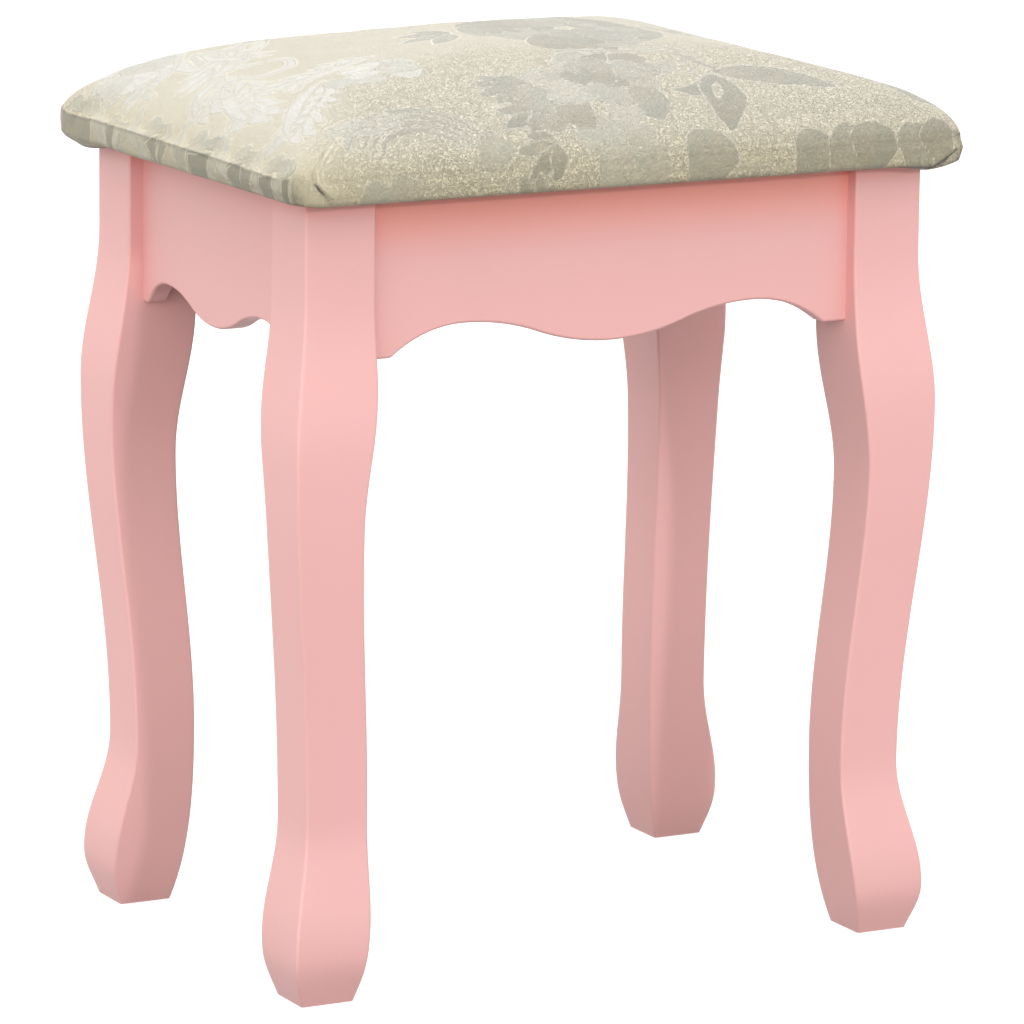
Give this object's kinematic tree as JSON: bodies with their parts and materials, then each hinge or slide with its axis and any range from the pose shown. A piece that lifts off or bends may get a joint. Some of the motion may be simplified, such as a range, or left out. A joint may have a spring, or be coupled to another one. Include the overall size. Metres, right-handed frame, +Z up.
{
  "type": "dressing table stool",
  "caption": "Painted wooden dressing-table stool with cabriole legs, scalloped aprons and a domed seat in floral damask.",
  "frame": {"origin": "on the floor, under the middle of the stool", "axes": "+Z up, +X to the right along the long front apron, +Y towards the back"},
  "size_m": [0.3786, 0.283, 0.4595],
  "materials": {
    "pink_paint": "satin pink paint on smooth hardwood",
    "bare_wood": "sawn and planed, unfinished",
    "dowel_wood": "beech dowel, unfinished",
    "screw_steel": "bright zinc plate",
    "staple_steel": "bright galvanised wire",
    "plywood": "birch plywood, sanded",
    "seat_foam": "open-cell polyurethane foam",
    "polyester_wadding": "soft white polyester wadding",
    "damask": "cream crepe ground with silver-grey satin flowers",
    "dust_cloth": "black non-woven"
  },
  "bodies": {
    "root": {"leg_front_left": "pink_paint", "leg_front_right": "pink_paint", "leg_back_left": "pink_paint", "leg_back_right": "pink_paint", "apron_front": "pink_paint", "apron_back": "pink_paint", "apron_left": "pink_paint", "apron_right": "pink_paint", "corner_block_front_left": "bare_wood", "corner_block_front_right": "bare_wood", "corner_block_back_left": "bare_wood", "corner_block_back_right": "bare_wood", "dowels": "dowel_wood", "corner_block_screws": "screw_steel", "seat_screws": "screw_steel", "staples": "staple_steel", "seat_board": "plywood", "foam_pad": "seat_foam", "wadding": "polyester_wadding", "seat_cover": "damask", "dust_cloth": "dust_cloth"}
  },
  "joints": []
}
